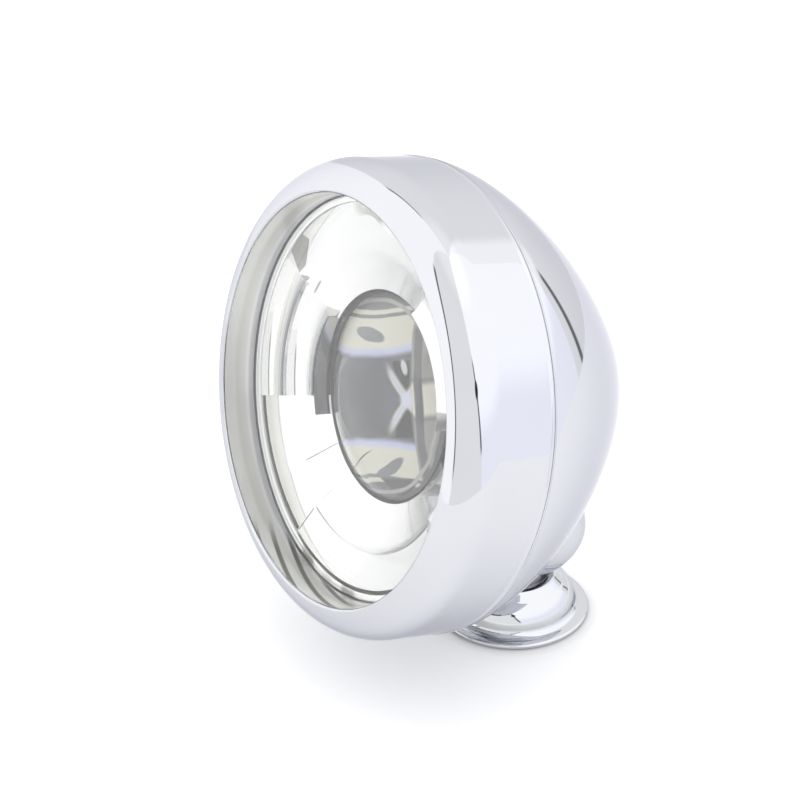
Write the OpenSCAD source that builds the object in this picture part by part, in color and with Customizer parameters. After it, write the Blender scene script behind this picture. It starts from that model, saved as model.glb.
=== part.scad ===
// Round fog light: a chromed shell with a projector lens behind clear glass,
// carried on a tilting ball swivel above a round screw-down foot.
// Millimetres. The foot stands on z = 0 with its centre at the origin.
// The beam leaves towards -Y. The lamp is drawn nose-up by shell_tilt.

/* [Shell] */
// Outside radius of the bezel ring
bezel_r = 57; // [50:0.5:65]
// Radius of the opening in the bezel ring
open_r = 48.8; // [42:0.1:54]
// Radius of the rolled front lip
lip_r = 9.6; // [6:0.1:12]
// Depth from the opening to the seam with the rear housing
seam_z = 24.4; // [16:0.1:32]
// Sheet thickness of the bezel ring
sheet = 1.2; // [0.8:0.1:2]
// Depth of the rear housing behind the seam
dome_h = 58.7; // [40:0.1:75]
// Wall of the rear housing
dome_wall = 1.9; // [1.4:0.1:3]

/* [Light unit] */
// Turn of the light unit about the beam axis
unit_turn = 22; // [-45:1:45]
// Outside radius of the front glass
glass_r = 51; // [48:0.1:54]
// Thickness of the front glass
glass_t = 2.6; // [2:0.1:5]
// Clear radius of the projector lens
lens_r = 24.6; // [18:0.1:30]
// Height of the projector lens curve
lens_h = 8; // [4:0.1:14]
// Depth of the projector lens rim behind the opening
lens_z = 19; // [18:0.1:20]

/* [Swivel] */
// Nose-up angle of the lamp as drawn
shell_tilt = 13.3; // [-6:0.1:19.8]
// Height of the swivel ball centre above the foot's base
ball_z = 11; // [10:0.1:16]
// Radius of the swivel ball
ball_r = 7.6; // [6:0.1:10]
// Radius of the boss under the housing
boss_r = 14.7; // [12:0.1:18]
// Distance of the swivel ball below the beam axis
drop = 52.3; // [45:0.1:60]
// Distance of the swivel ball behind the opening
back = 67.3; // [50:0.1:75]
// Radius of the hollow swivel stud
stud_r = 4; // [3:0.1:5]
// Radius of the wire passage through the stud
wire_r = 2.2; // [1.5:0.1:2.6]

/* [Foot] */
// Radius of the foot at its rim
foot_r = 19.4; // [16:0.1:26]
// Height of the foot
foot_h = 10.5; // [8:0.1:14]
// Distance between the two fixing holes under the foot
screw_pitch = 23.6; // [20:0.1:26]
// Tapping radius of the fixing holes
screw_r = 1.65; // [1.2:0.05:2.1]

/* [Hidden] */
$fn = 96;
chrome = [0.82, 0.84, 0.88];
steel = [0.62, 0.64, 0.67];
black = [0.07, 0.07, 0.08];
clear = [0.85, 0.92, 0.95, 0.35];
run_gap = 0.05;
eps = 0.5;
lip_c = bezel_r - lip_r;
return_z = 8;
flange_z = 11.4;
frame_z = 13.05;
spigot_z = 16.1;
screw_z = 19.6;
post_r = 53.2;
lip_l = 5.27;
ring_l = 3.6;
ring_r = 10.4;
floor_r = 10.4;
floor_l = 6.3;
seat_gap = 0.3;
guide_x = 4.9;
guide_z = 4.9;
guide_l = 7.7;
saddle_top = 11.6;
spring_t = 1.8;
nut_h = 6.5;
stud_top = 21.5;
well_r = 27.2;
lead_a = -103;
lead_len = 13.4;
lead_z = 71;
plug = [7, 4, 7];
dome_n = 1.216;
dome_m = 1.457;
dome_steps = 22;
dome_cap = 0.885;
cap_a = 57;
cap_steps = 6;
tube_bolt_r = 30;
sector_t = 39;
sector_a = 93;
sector_b = 120;
sector_c = 139;

// Lamp frame: z runs back along the beam axis from the opening, y runs down.
module lamp() {
    translate([0, 0, ball_z])
        rotate([-shell_tilt, 0, 0])
            translate([0, -back, drop])
                rotate([-90, 0, 0])
                    children();
}

// Swivel frame: origin at the ball centre, z up along the stud.
module swivel() {
    translate([0, 0, ball_z])
        children();
}

// Tilt frame: origin at the ball centre, z up through the boss, -y forwards.
module tilted() {
    translate([0, 0, ball_z])
        rotate([-shell_tilt, 0, 0])
            children();
}

module ring(r_out, r_in, z0, z1) {
    translate([0, 0, z0])
        difference() {
            cylinder(r = r_out, h = z1 - z0);
            translate([0, 0, -eps])
                cylinder(r = r_in, h = z1 - z0 + 2 * eps);
        }
}

// Bezel ring -------------------------------------------------------------
module lip_section(rad, top) {
    intersection() {
        translate([lip_c, lip_r])
            circle(r = rad);
        translate([lip_c, -1])
            square([rad + 1, lip_r + 1.5]);
    }
    translate([lip_c, lip_r])
        square([rad, top - lip_r]);
}

module bezel_section() {
    difference() {
        lip_section(lip_r, seam_z - 0.2);
        lip_section(lip_r - sheet, seam_z + 1);
        translate([lip_c - 1, -2])
            square([open_r - lip_c + 1, seam_z + 4]);
    }
    translate([open_r, 0.6])
        square([sheet, return_z - 0.6]);
    translate([bezel_r - 0.5, seam_z - 0.75])
        circle(r = 0.7);
}

module frame_posts(r, z0, z1) {
    for (a = [30, 150, 270])
        rotate([0, 0, a])
            translate([post_r, 0, z0])
                cylinder(r = r, h = z1 - z0);
}

module bezel_ring() {
    color(chrome)
        lamp()
            difference() {
                union() {
                    rotate_extrude()
                        bezel_section();
                    intersection() {
                        frame_posts(1.9, 0, frame_z - 0.05);
                        rotate_extrude()
                            lip_section(lip_r - 0.5, frame_z + 1);
                    }
                }
                frame_posts(1.05, frame_z - 3.45, frame_z + 1);
                translate([0, bezel_r - 3, screw_z])
                    rotate([-90, 0, 0])
                        cylinder(r = 1.7, h = 6);
            }
}

// The bezel screw points up through the bottom of the ring.
module bezel_screw() {
    color(steel)
        lamp()
            translate([0, bezel_r - 4.2, screw_z])
                rotate([-90, 0, 0]) {
                    cylinder(r = 1.5, h = 5);
                    translate([0, 0, 4.23])
                        difference() {
                            cylinder(r1 = 3, r2 = 2.4, h = 1.2);
                            translate([-0.4, -4, 0.6])
                                cube([0.8, 8, 1]);
                        }
                }
}

// Front glass ------------------------------------------------------------
module glass_gasket() {
    color(black)
        lamp()
            ring(glass_r - 0.1, open_r + 0.2, return_z + 0.01, return_z + 0.58);
}

module front_glass() {
    color(clear)
        lamp()
            rotate_extrude()
                translate([0, return_z])
                    polygon([[0, -0.7], [12, -0.62], [24, -0.4], [36, 0], [45, 0.4],
                        [glass_r - 0.3, 0.72], [glass_r, 1], [glass_r, 0.72 + glass_t],
                        [45, 0.4 + glass_t], [36, glass_t], [24, glass_t - 0.4],
                        [12, glass_t - 0.62], [0, glass_t - 0.7]]);
}

// Reflector --------------------------------------------------------------
// Sector angles are counted from the top of the light unit.
module wedge(a0, a1) {
    polygon([[0, 0], [80 * sin(a0), -80 * cos(a0)],
        [110 * sin((a0 + a1) / 2), -110 * cos((a0 + a1) / 2)],
        [80 * sin(a1), -80 * cos(a1)]]);
}

module sector(a0, a1) {
    intersection() {
        rotate_extrude()
            children();
        translate([0, 0, 5])
            linear_extrude(height = 20)
                wedge(a0, a1);
    }
}

module pair(a0, a1) {
    sector(a0, a1)
        children();
    sector(-a1, -a0)
        children();
}

module pad(z_out, z_in, r_out) {
    polygon([[r_out, z_out], [r_out, 14.6], [well_r + 0.6, 19], [well_r + 0.6, z_in]]);
}

module flute(r0, r1, z0, z1) {
    polygon([[r0, z0], [(r0 + r1) / 2, (z0 + z1) / 2 + 0.7], [r1, z1],
        [r1, z1 + 2.6], [r0, z0 + 3]]);
}

module reflector() {
    color(chrome)
        lamp()
            rotate([0, 0, -unit_turn]) {
                rotate_extrude()
                    polygon([[47.2, flange_z], [glass_r, flange_z], [glass_r, flange_z + 1],
                        [48.5, flange_z + 1], [47.7, 15.4], [28.7, 20], [28.7, 22],
                        [well_r, 22], [well_r, 17.6], [45.5, 13.4], [46.1, flange_z + 0.8]]);
                sector(-sector_t, sector_t)
                    pad(11.8, 15.4, 46.6);
                pair(sector_t - 1, sector_a + 1) {
                    flute(40.2, 46.7, 11.9, 12.5);
                    flute(34.4, 40.4, 12.5, 13.3);
                    flute(well_r + 0.3, 34.6, 13.7, 14.9);
                }
                pair(sector_a, sector_b)
                    pad(11.7, 16.4, 46.5);
                pair(sector_b - 1, sector_c + 1)
                    pad(12.3, 17, 46.8);
                sector(sector_c, 360 - sector_c) {
                    flute(36, 46.7, 11.9, 12.2);
                    flute(well_r + 0.3, 36.2, 14.4, 16.4);
                }
            }
}

// Light unit frame and screws ---------------------------------------------
module unit_frame() {
    color(steel)
        lamp()
            difference() {
                union() {
                    ring(54.9, 48.8, frame_z, frame_z + 1.35);
                    ring(28.9, 26.95, 22.1, 35.3);
                    ring(32, 26.95, 34, 35.3);
                    for (a = [90, 210, 330])
                        rotate([0, 0, a]) {
                            translate([49, -4, frame_z + 0.05])
                                cube([1.8, 8, 24.6 - frame_z - 0.05]);
                            translate([28, -4, 22.8])
                                cube([22.8, 8, 1.8]);
                        }
                }
                frame_posts(1.3, frame_z - 1, frame_z + 2);
                tube_holes(33, 36);
            }
}

module tube_holes(z0, z1) {
    for (a = [45:90:315])
        rotate([0, 0, a])
            translate([tube_bolt_r, 0, z0])
                cylinder(r = 1.1, h = z1 - z0);
}

module slotted_head(r, h) {
    difference() {
        cylinder(r = r, h = h);
        translate([-0.35, -r - 1, h * 0.55])
            cube([0.7, 2 * r + 2, h]);
    }
}

module frame_screw() {
    color(steel)
        lamp()
            for (a = [30, 150, 270])
                rotate([0, 0, a])
                    translate([post_r, 0, 0]) {
                        translate([0, 0, frame_z - 3.25])
                            cylinder(r = 1, h = 4.7);
                        translate([0, 0, frame_z + 1.37])
                            slotted_head(1.8, 1.5);
                    }
}

module tube_screw() {
    color(steel)
        lamp()
            for (a = [45:90:315])
                rotate([0, 0, a])
                    translate([tube_bolt_r, 0, 0]) {
                        translate([0, 0, 33.4])
                            cylinder(r = 1.05, h = 6.2);
                        translate([0, 0, 39.52])
                            slotted_head(1.6, 1.4);
                    }
}

// Projector ---------------------------------------------------------------
module projector_lens() {
    curve_r = (lens_r * lens_r + lens_h * lens_h) / (2 * lens_h);
    color(clear)
        lamp()
            rotate_extrude() {
                intersection() {
                    translate([0, lens_z - lens_h + curve_r])
                        circle(r = curve_r, $fn = 256);
                    square([lens_r, lens_z]);
                }
                translate([0, lens_z - 0.01])
                    square([lens_r + 0.7, 2.2]);
            }
}

module lens_ring() {
    color(black)
        lamp()
            rotate_extrude()
                polygon([[lens_r + 0.15, lens_z - 1.5], [26.7, lens_z - 1.5],
                    [26.7, lens_z + 2.3], [lens_r + 0.85, lens_z + 2.3],
                    [lens_r + 0.85, lens_z - 0.2], [lens_r + 0.15, lens_z - 0.2]]);
}

module lens_tube() {
    color(steel)
        lamp()
            difference() {
                union() {
                    ring(26.7, 23, lens_z + 2.4, lens_z + 4.2);
                    ring(26.7, 25.2, lens_z + 4.1, 37);
                    ring(32, 25.2, 35.4, 37);
                }
                tube_holes(35, 38);
            }
}

// The cut-off shield closes the lower half of the tube.
module cutoff_shield() {
    color(steel)
        lamp()
            difference() {
                translate([0, 0, 37.05])
                    cylinder(r = 32, h = 1);
                intersection() {
                    translate([0, 0, 36])
                        cylinder(r = 24.8, h = 3);
                    translate([-30, -30.5, 35])
                        cube([60, 30, 5]);
                }
                tube_holes(36, 39);
            }
}

module bowl_section(off) {
    intersection() {
        translate([0, 38.1])
            circle(r = 25.4 + off);
        translate([6.6, 38.1])
            square([25.4 + off, 24.6 + off]);
    }
}

module projector_bowl() {
    color(chrome)
        lamp()
            difference() {
                rotate_extrude() {
                    difference() {
                        bowl_section(1.2);
                        bowl_section(0);
                    }
                    translate([25.5, 38.1])
                        square([6.5, 1.35]);
                    translate([6.6, 62])
                        square([3.4, 3]);
                }
                tube_holes(38, 41);
            }
}

// Bulb ----------------------------------------------------------------------
module bulb_glass() {
    color(clear)
        lamp()
            rotate_extrude() {
                difference() {
                    union() {
                        translate([0, 49])
                            intersection() {
                                circle(r = 5);
                                translate([0, -5])
                                    square([5, 5]);
                            }
                        translate([0, 48.99])
                            square([5, 12.4]);
                    }
                    translate([0, 49])
                        circle(r = 4.2);
                    translate([-1, 49])
                        square([5.2, 12]);
                }
            }
}

module bulb_filament() {
    color(steel)
        lamp() {
            for (s = [-1, 1])
                translate([s * 2.2, 0, 51])
                    cylinder(r = 0.3, h = 9.8);
            translate([-2.9, 0, 51.3])
                rotate([0, 90, 0])
                    cylinder(r = 0.6, h = 5.8);
        }
}

module bulb_base() {
    color(steel)
        lamp() {
            translate([0, 0, 61.45])
                cylinder(r = 6.1, h = 3.7);
            translate([0, 0, 65.05])
                cylinder(r = 9, h = 1);
            translate([0, 0, 66])
                cylinder(r = 5, h = 2.6);
        }
}

module bulb_ring() {
    color(steel)
        lamp() {
            ring(11.3, 6.2, 66.08, 67);
            ring(11.3, 10.05, 63.3, 66.2);
            for (a = [0, 120, 240])
                rotate([0, 0, a])
                    translate([11, -1.5, 63.3])
                        cube([1.4, 3, 3.7]);
        }
}

// The lead leaves the bulb and drops to its plug above the swivel.
module bulb_lead() {
    color(black)
        lamp() {
            translate([0, 0, 68.62])
                cylinder(r = 0.9, h = 2.4);
            translate([0, 0, lead_z])
                sphere(r = 1.1);
            translate([0, 0, lead_z])
                rotate([lead_a, 0, 0])
                    cylinder(r = 0.85, h = lead_len);
        }
}

module lead_connector() {
    color(black)
        lamp()
            translate([0, 0, lead_z])
                rotate([lead_a, 0, 0])
                    translate([-plug.x / 2, -plug.y / 2, lead_len - 1])
                        difference() {
                            cube(plug);
                            translate([1.2, 0.9, 3])
                                cube([plug.x - 2.4, plug.y - 1.8, plug.z]);
                            translate([plug.x / 2, plug.y / 2, -1])
                                cylinder(r = 0.88, h = 2.05);
                        }
}

// Rear housing ---------------------------------------------------------------
function dome_at(s, r, h) = r * pow(1 - pow(s / h, dome_m), 1 / dome_n);

// The dome ends in a round cap that leaves its side smoothly.
module dome_section(r, h) {
    s1 = h * dome_cap;
    r1 = dome_at(s1, r, h);
    cap_r = r1 / cos(cap_a);
    polygon(concat([[0, seam_z + 0.3]],
        [for (i = [0:dome_steps])
            let (s = s1 * (1 - pow(1 - i / dome_steps, 1.3)))
                [dome_at(s, r, h), seam_z + 0.3 + s]],
        [for (i = [1:cap_steps])
            let (a = cap_a + (90 - cap_a) * i / cap_steps)
                [cap_r * cos(a), seam_z + 0.3 + s1 + cap_r * (sin(a) - sin(cap_a))]]));
}

module neck(r) {
    translate([0, drop - boss_r, back]) {
        sphere(r = r);
        rotate([115, 0, 0])
            cylinder(r = r - 0.2, h = 26);
    }
}

module below_lip() {
    translate([-20, drop - lip_l, back - 20])
        cube([40, 20, 40]);
}

module rear_housing() {
    color(chrome)
        lamp()
            difference() {
                union() {
                    rotate_extrude()
                        dome_section(bezel_r - 0.2, dome_h - 0.3);
                    neck(boss_r);
                    translate([0, 0, spigot_z])
                        cylinder(r = bezel_r - sheet - 0.4, h = seam_z - spigot_z + 0.5);
                }
                below_lip();
                difference() {
                    union() {
                        rotate_extrude()
                            dome_section(bezel_r - 0.2 - dome_wall, dome_h - 0.3 - dome_wall);
                        neck(boss_r - dome_wall);
                        translate([0, 0, spigot_z - 1])
                            cylinder(r = bezel_r - sheet - 2, h = seam_z - spigot_z + 2);
                    }
                    translate([-20, drop - floor_l, back - 20])
                        cube([40, 20, 40]);
                    translate([-15, drop, back])
                        rotate([0, 90, 0])
                            cylinder(r = floor_r, h = 30);
                }
                translate([0, drop, back])
                    sphere(r = ball_r + seat_gap);
                translate([-guide_x - run_gap, drop - 14, back - 8.1])
                    cube([2 * guide_x + 2 * run_gap, 14, 14.4]);
                translate([0, bezel_r - 4, screw_z])
                    rotate([-90, 0, 0])
                        cylinder(r = 1.55, h = 6);
            }
}

module rim_gasket() {
    color(black)
        lamp()
            ring(bezel_r - 0.55, bezel_r - sheet - 0.3, seam_z - 0.02, seam_z + 0.25);
}

// Swivel -----------------------------------------------------------------------
module seat_ring() {
    color(chrome)
        tilted()
            difference() {
                translate([0, 0, ring_l])
                    cylinder(r = ring_r, h = lip_l - ring_l);
                sphere(r = ball_r + run_gap);
                translate([-guide_x - run_gap, -8.1, ring_l - 1])
                    cube([2 * guide_x + 2 * run_gap, 14.4, 5]);
            }
}

module swivel_ball() {
    color(chrome)
        swivel()
            difference() {
                intersection() {
                    sphere(r = ball_r);
                    translate([-10, -10, -5.9])
                        cube([20, 20, 11.9]);
                }
                translate([0, 0, -10])
                    cylinder(r = stud_r + 0.02, h = 20);
            }
}

module swivel_stud() {
    color(steel)
        difference() {
            union() {
                translate([0, 0, 1])
                    cylinder(r = 7.5, h = 2.35);
                translate([0, 0, 3.3])
                    cylinder(r = stud_r, h = ball_z + stud_top - 3.3);
            }
            translate([0, 0, -1])
                cylinder(r = wire_r, h = 50);
        }
}

module saddle() {
    color(steel)
        swivel()
            difference() {
                union() {
                    intersection() {
                        translate([0, 0, guide_l])
                            cylinder(r = 6.2, h = 1.4);
                        translate([-guide_x, -guide_z, guide_l])
                            cube([2 * guide_x, 2 * guide_z, 1.5]);
                    }
                    difference() {
                        intersection() {
                            translate([0, 0, 8.6])
                                cylinder(r = 7.2, h = saddle_top - 8.6);
                            translate([-8, -4.6, 8.6])
                                cube([16, 9.2, 4]);
                        }
                        difference() {
                            translate([-10, 0, 0])
                                rotate([0, 90, 0])
                                    cylinder(r = floor_r + run_gap, h = 20);
                            translate([-guide_x, -6, 0])
                                cube([2 * guide_x, 12, 12]);
                        }
                    }
                }
                cylinder(r = stud_r + run_gap, h = 20);
            }
}

module spring_washer() {
    color(steel)
        swivel()
            difference() {
                ring(6.9, stud_r + 0.15, saddle_top + 0.02, saddle_top + spring_t);
                translate([0, -0.6, saddle_top - 1])
                    cube([10, 1.2, 5]);
            }
}

module swivel_nut() {
    color(steel)
        swivel()
            translate([0, 0, saddle_top + spring_t + 0.02])
                difference() {
                    cylinder(r = 7.5, h = nut_h, $fn = 6);
                    translate([0, 0, -1])
                        cylinder(r = stud_r + 0.02, h = nut_h + 2);
                }
}

// Foot ---------------------------------------------------------------------------
module foot_section() {
    intersection() {
        translate([8.2, 3])
            circle(r = 7.6);
        square([17, foot_h]);
    }
    square([8.3, foot_h]);
    polygon([[0, 0], [foot_r - 0.5, 0], [foot_r, 0.5], [foot_r, 1.3],
        [foot_r - 0.4, 2.1], [foot_r - 1.1, 2.6], [15.6, 3.1], [0, 3.1]]);
}

module foot() {
    color(chrome)
        difference() {
            rotate_extrude()
                foot_section();
            translate([0, 0, ball_z])
                sphere(r = ball_r + 0.02);
            translate([0, 0, -1])
                cylinder(r = stud_r + 0.05, h = 12);
            translate([0, 0, -1])
                cylinder(r = 7.6, h = 4.4);
            translate([0, 0, -1])
                difference() {
                    cylinder(r = 17.6, h = 2.2);
                    translate([0, 0, -1])
                        cylinder(r = 15.4, h = 4);
                }
            for (s = [-1, 1])
                translate([s * screw_pitch / 2, 0, -1])
                    cylinder(r = screw_r, h = 7);
        }
}

module foot_gasket() {
    color(black)
        ring(17.55, 15.45, 0, 1.18);
}

module wire_grommet() {
    color(black)
        ring(7.55, wire_r, 0.05, 0.98);
}

bezel_ring();
bezel_screw();
glass_gasket();
front_glass();
reflector();
unit_frame();
frame_screw();
tube_screw();
projector_lens();
lens_ring();
lens_tube();
cutoff_shield();
projector_bowl();
bulb_glass();
bulb_filament();
bulb_base();
bulb_ring();
bulb_lead();
lead_connector();
rim_gasket();
rear_housing();
seat_ring();
swivel_ball();
swivel_stud();
saddle();
spring_washer();
swivel_nut();
foot();
foot_gasket();
wire_grommet();
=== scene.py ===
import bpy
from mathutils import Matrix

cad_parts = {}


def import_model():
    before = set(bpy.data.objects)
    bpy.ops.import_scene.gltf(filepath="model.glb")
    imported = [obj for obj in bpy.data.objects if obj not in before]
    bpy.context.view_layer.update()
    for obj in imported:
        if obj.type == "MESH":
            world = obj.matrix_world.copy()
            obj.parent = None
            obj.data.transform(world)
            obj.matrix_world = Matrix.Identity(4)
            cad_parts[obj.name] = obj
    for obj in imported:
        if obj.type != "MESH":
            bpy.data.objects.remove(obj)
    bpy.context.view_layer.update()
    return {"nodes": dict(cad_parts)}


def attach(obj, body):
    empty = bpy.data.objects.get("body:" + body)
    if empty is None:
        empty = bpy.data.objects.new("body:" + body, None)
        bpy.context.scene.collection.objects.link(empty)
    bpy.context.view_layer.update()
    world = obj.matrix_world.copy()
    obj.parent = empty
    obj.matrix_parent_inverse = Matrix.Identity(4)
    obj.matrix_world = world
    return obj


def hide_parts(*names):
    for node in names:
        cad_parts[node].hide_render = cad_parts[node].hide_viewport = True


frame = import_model()

import math
import bmesh
import bpy
import numpy as np
from mathutils import Matrix, Vector

# A fog light: chrome bezel and shell, glass, mirror unit with its lens, and a foot. Lengths are in mm.
MM, PER_M = 0.001, 1000.0
TILT = 13.3                            # the lamp's nose-up angle
BALL_Z, BACK, DROP = 11.0, 67.3, 52.3  # the ball's height, and where it lies in the lamp frame
UNIT_TURN = 22.0                       # the mirror unit's turn about the beam axis
CAMERA_EL, CAMERA_AZ = 30.88, 58.80
DEG_PER_RAD = 57.2958
MIX_A, MIX_B, MIX_OUT = 6, 7, 2        # the Mix node's colour sockets


# ---------------------------------------------------------------- frames
def rot(axis, deg):
    return Matrix.Rotation(math.radians(deg), 4, axis)


def shift(x, y, z):
    return Matrix.Translation((x, y, z))


SCALE = Matrix.Diagonal((MM, MM, MM, 1))
# Lamp frame: z back along the beam axis from the opening, y down.
LAMP = SCALE @ shift(0, 0, BALL_Z) @ rot("X", -TILT) @ shift(0, -BACK, DROP) @ rot("X", -90)
TILTED = SCALE @ shift(0, 0, BALL_Z) @ rot("X", -TILT)
WORLD = SCALE


# ---------------------------------------------------------------- camera
def camera():
    e, a = math.radians(CAMERA_EL), math.radians(CAMERA_AZ)
    back = Vector((math.cos(e) * math.sin(a), -math.cos(e) * math.cos(a), math.sin(e)))
    right = Vector((math.cos(a), math.sin(a), 0))
    up = back.cross(right)
    at = (back * 764.53 - right * 28.561 + up * 52.525) * MM
    data = bpy.data.cameras.new("camera")
    data.lens, data.sensor_width = 135.0, 36.0
    data.clip_start, data.clip_end = 0.01, 100
    cam = bpy.data.objects.new("camera", data)
    m = Matrix((right, up, back)).transposed().to_4x4()
    m.translation = at
    cam.matrix_world = m
    bpy.context.scene.collection.objects.link(cam)
    bpy.context.scene.camera = cam


camera()


# ---------------------------------------------------------------- mesh help
def make(name, verts, faces, mat, frame_m, body, smooth=True, replaces=()):
    mesh = bpy.data.meshes.new(name)
    mesh.from_pydata([tuple(frame_m @ Vector(v)) for v in verts], [], faces)
    mesh.update()
    if smooth:
        mesh.shade_smooth()
    ob = bpy.data.objects.new(name, mesh)
    bpy.context.scene.collection.objects.link(ob)
    mesh.materials.append(mat)
    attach(ob, body)
    if replaces:
        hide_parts(*replaces)
    return ob


def revolve(profile, segs, a0=0.0, a1=360.0):
    """Quads round z. profile is a list of (r, z); an r of 0 makes a fan tip."""
    whole = abs(a1 - a0 - 360) < 1e-6
    n = segs if whole else segs + 1
    verts, rows = [], []
    for r, z in profile:
        if abs(r) < 1e-9:
            rows.append([len(verts)] * n)
            verts.append((0, 0, z))
            continue
        rows.append(list(range(len(verts), len(verts) + n)))
        for i in range(n):
            t = math.radians(a0 + (a1 - a0) * i / segs)
            verts.append((r * math.cos(t), r * math.sin(t), z))
    faces = []
    for a, b in zip(rows, rows[1:]):
        for i in range(segs):
            j = (i + 1) % n
            f = []
            for v in (a[i], a[j], b[j], b[i]):
                if v not in f:
                    f.append(v)
            if len(f) > 2:
                faces.append(tuple(f))
    return verts, faces


def arc(cx, cz, r, a0, a1, n):
    """Points on an arc in (r, z); angle 0 points outwards and 90 points to +z."""
    return [(cx + r * math.cos(math.radians(a0 + (a1 - a0) * i / n)),
             cz + r * math.sin(math.radians(a0 + (a1 - a0) * i / n))) for i in range(n + 1)]


def line(p, q, n):
    return [(p[0] + (q[0] - p[0]) * i / n, p[1] + (q[1] - p[1]) * i / n) for i in range(n + 1)]


def join(*runs):
    out = []
    for run in runs:
        for p in run:
            if not out or math.hypot(p[0] - out[-1][0], p[1] - out[-1][1]) > 1e-4:
                out.append(p)
    return out


def add_faces(bm, verts, faces):
    vs = [bm.verts.new(p) for p in verts]
    for face in faces:
        bm.faces.new([vs[i] for i in face])


def out_normals(ob):
    bm = bmesh.new()
    bm.from_mesh(ob.data)
    bmesh.ops.recalc_face_normals(bm, faces=bm.faces)
    bm.to_mesh(ob.data)
    bm.free()


def sharp(ob, deg):
    bm = bmesh.new()
    bm.from_mesh(ob.data)
    for e in bm.edges:
        e.smooth = not (len(e.link_faces) == 2 and e.calc_face_angle(0) > math.radians(deg))
    bm.to_mesh(ob.data)
    bm.free()


# ---------------------------------------------------------------- materials
def nodes_of(name):
    mat = bpy.data.materials.new(name)
    mat.use_nodes = True
    nt = mat.node_tree
    return mat, nt, nt.nodes["Principled BSDF"]


def link(nt, a, b):
    nt.links.new(a, b)


def noise(nt, scale, detail, rough=0.5):
    co = nt.nodes.new("ShaderNodeTexCoord")
    n = nt.nodes.new("ShaderNodeTexNoise")
    n.inputs["Scale"].default_value = scale
    n.inputs["Detail"].default_value = detail
    n.inputs["Roughness"].default_value = rough
    link(nt, co.outputs["Object"], n.inputs["Vector"])
    return n


def math_node(nt, op, a, b=None):
    n = nt.nodes.new("ShaderNodeMath")
    n.operation = op
    for i, v in enumerate((a, b)):
        if v is None:
            continue
        if isinstance(v, (int, float)):
            n.inputs[i].default_value = v
        else:
            link(nt, v, n.inputs[i])
    return n.outputs[0]


def step(nt, v, lo, hi):
    """0 below lo, 1 above hi, smooth between."""
    n = nt.nodes.new("ShaderNodeMapRange")
    n.interpolation_type = "SMOOTHSTEP"
    n.inputs["From Min"].default_value = lo
    n.inputs["From Max"].default_value = hi
    link(nt, v, n.inputs["Value"])
    return n.outputs["Result"]


def between(nt, v, lo, hi, soft):
    up = step(nt, v, lo - soft, lo + soft)
    down = step(nt, v, hi - soft, hi + soft)
    return math_node(nt, "SUBTRACT", up, down)


def ramp(nt, src, stops):
    r = nt.nodes.new("ShaderNodeValToRGB")
    while len(r.color_ramp.elements) > 1:
        r.color_ramp.elements.remove(r.color_ramp.elements[-1])
    for i, (p, c) in enumerate(stops):
        e = r.color_ramp.elements[0] if i == 0 else r.color_ramp.elements.new(p)
        e.position = p
        e.color = (c[0], c[1], c[2], 1)
    link(nt, src, r.inputs["Fac"])
    return r


def chrome(name, base, rough=0.035, edge=0.72):
    mat, nt, bsdf = nodes_of(name)
    bsdf.inputs["Metallic"].default_value = 1.0
    bsdf.inputs["Specular Tint"].default_value = (edge, edge, edge * 1.06, 1)
    n = noise(nt, 60, 2)
    c = ramp(nt, n.outputs["Fac"], [(0.35, tuple(v * 0.985 for v in base)), (0.65, base)])
    link(nt, c.outputs["Color"], bsdf.inputs["Base Color"])
    fine = noise(nt, 900, 4, 0.6)
    r = nt.nodes.new("ShaderNodeMapRange")
    r.inputs["From Min"].default_value, r.inputs["From Max"].default_value = 0.3, 0.75
    r.inputs["To Min"].default_value, r.inputs["To Max"].default_value = rough * 0.7, rough * 1.5
    link(nt, fine.outputs["Fac"], r.inputs["Value"])
    link(nt, r.outputs["Result"], bsdf.inputs["Roughness"])
    return mat


def metal(name, base, rough):
    mat, nt, bsdf = nodes_of(name)
    bsdf.inputs["Metallic"].default_value = 1.0
    n = noise(nt, 500, 4, 0.6)
    c = ramp(nt, n.outputs["Fac"], [(0.3, tuple(v * 0.86 for v in base)), (0.7, base)])
    link(nt, c.outputs["Color"], bsdf.inputs["Base Color"])
    r = ramp(nt, n.outputs["Fac"], [(0.3, (rough * 0.8,) * 3), (0.7, (rough * 1.25,) * 3)])
    link(nt, r.outputs["Color"], bsdf.inputs["Roughness"])
    b = nt.nodes.new("ShaderNodeBump")
    b.inputs["Strength"].default_value = 0.15
    b.inputs["Distance"].default_value = 0.00005
    link(nt, n.outputs["Fac"], b.inputs["Height"])
    link(nt, b.outputs["Normal"], bsdf.inputs["Normal"])
    return mat


def dull(name, base, rough):
    mat, nt, bsdf = nodes_of(name)
    n = noise(nt, 900, 5, 0.65)
    c = ramp(nt, n.outputs["Fac"], [(0.3, tuple(v * 0.7 for v in base)),
                                    (0.7, tuple(v * 1.2 for v in base))])
    link(nt, c.outputs["Color"], bsdf.inputs["Base Color"])
    bsdf.inputs["Roughness"].default_value = rough
    b = nt.nodes.new("ShaderNodeBump")
    b.inputs["Strength"].default_value = 0.4
    b.inputs["Distance"].default_value = 0.00008
    link(nt, n.outputs["Fac"], b.inputs["Height"])
    link(nt, b.outputs["Normal"], bsdf.inputs["Normal"])
    return mat


def glass(name, tint):
    mat, nt, bsdf = nodes_of(name)
    bsdf.inputs["Base Color"].default_value = (*tint, 1)
    bsdf.inputs["Roughness"].default_value = 0.0
    bsdf.inputs["IOR"].default_value = 1.5
    bsdf.inputs["Transmission Weight"].default_value = 1.0
    return mat


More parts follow.
